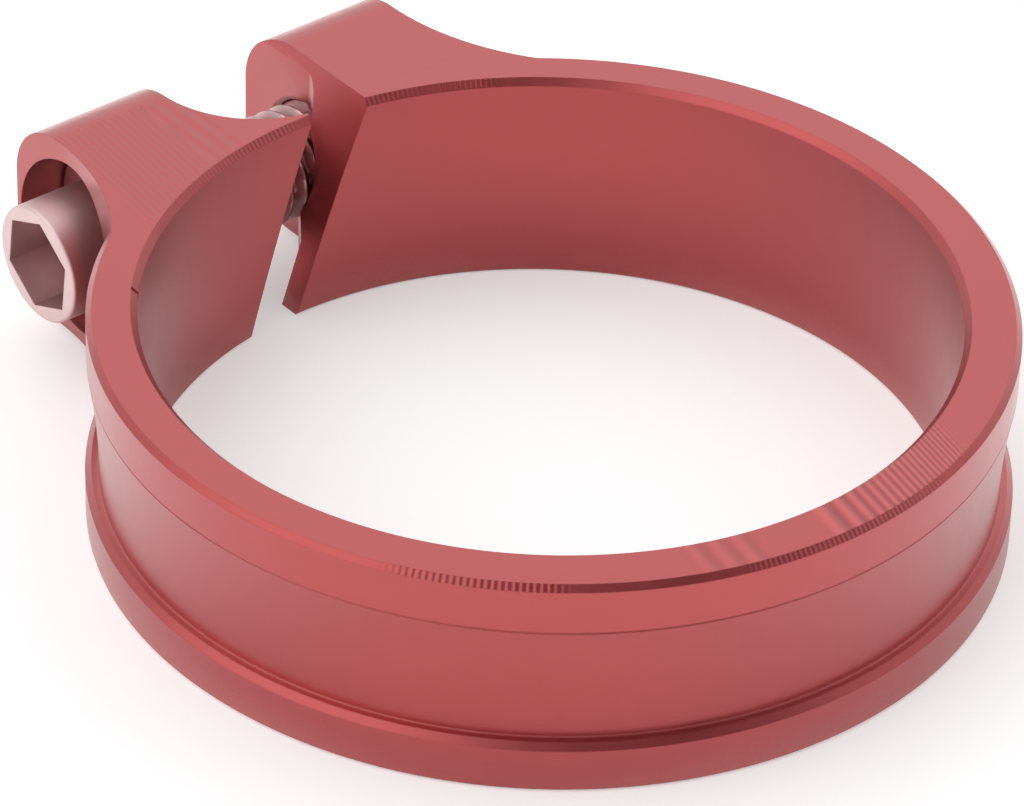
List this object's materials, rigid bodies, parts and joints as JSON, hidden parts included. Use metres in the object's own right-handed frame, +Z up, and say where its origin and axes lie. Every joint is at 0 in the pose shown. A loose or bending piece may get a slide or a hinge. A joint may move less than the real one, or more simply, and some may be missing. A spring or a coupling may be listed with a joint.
{
  "type": "seatpost clamp",
  "caption": "Red anodised split-ring seatpost clamp with a slanted slot, a stepped lip and two ears drawn together by a socket-head bolt.",
  "frame": {"origin": "centre of the seat-tube bore at the clamp's bottom face", "axes": "+Z up the bore, +Y to the slot and ears, +X along the bolt from its head to its tip"},
  "size_m": [0.0398, 0.046, 0.0103],
  "materials": {
    "anodised_body": "satin red anodised",
    "bolt_metal": "satin"
  },
  "bodies": {
    "clamp": {"clamp_body": "anodised_body"},
    "bolt": {"clamp_bolt": "bolt_metal"}
  },
  "joints": [
    {"name": "bolt_turn", "type": "hinge", "parent": "clamp", "child": "bolt", "pos_m": [0, 0.02145, 0.00525], "axis": [1, 0, 0], "continuous": true}
  ]
}
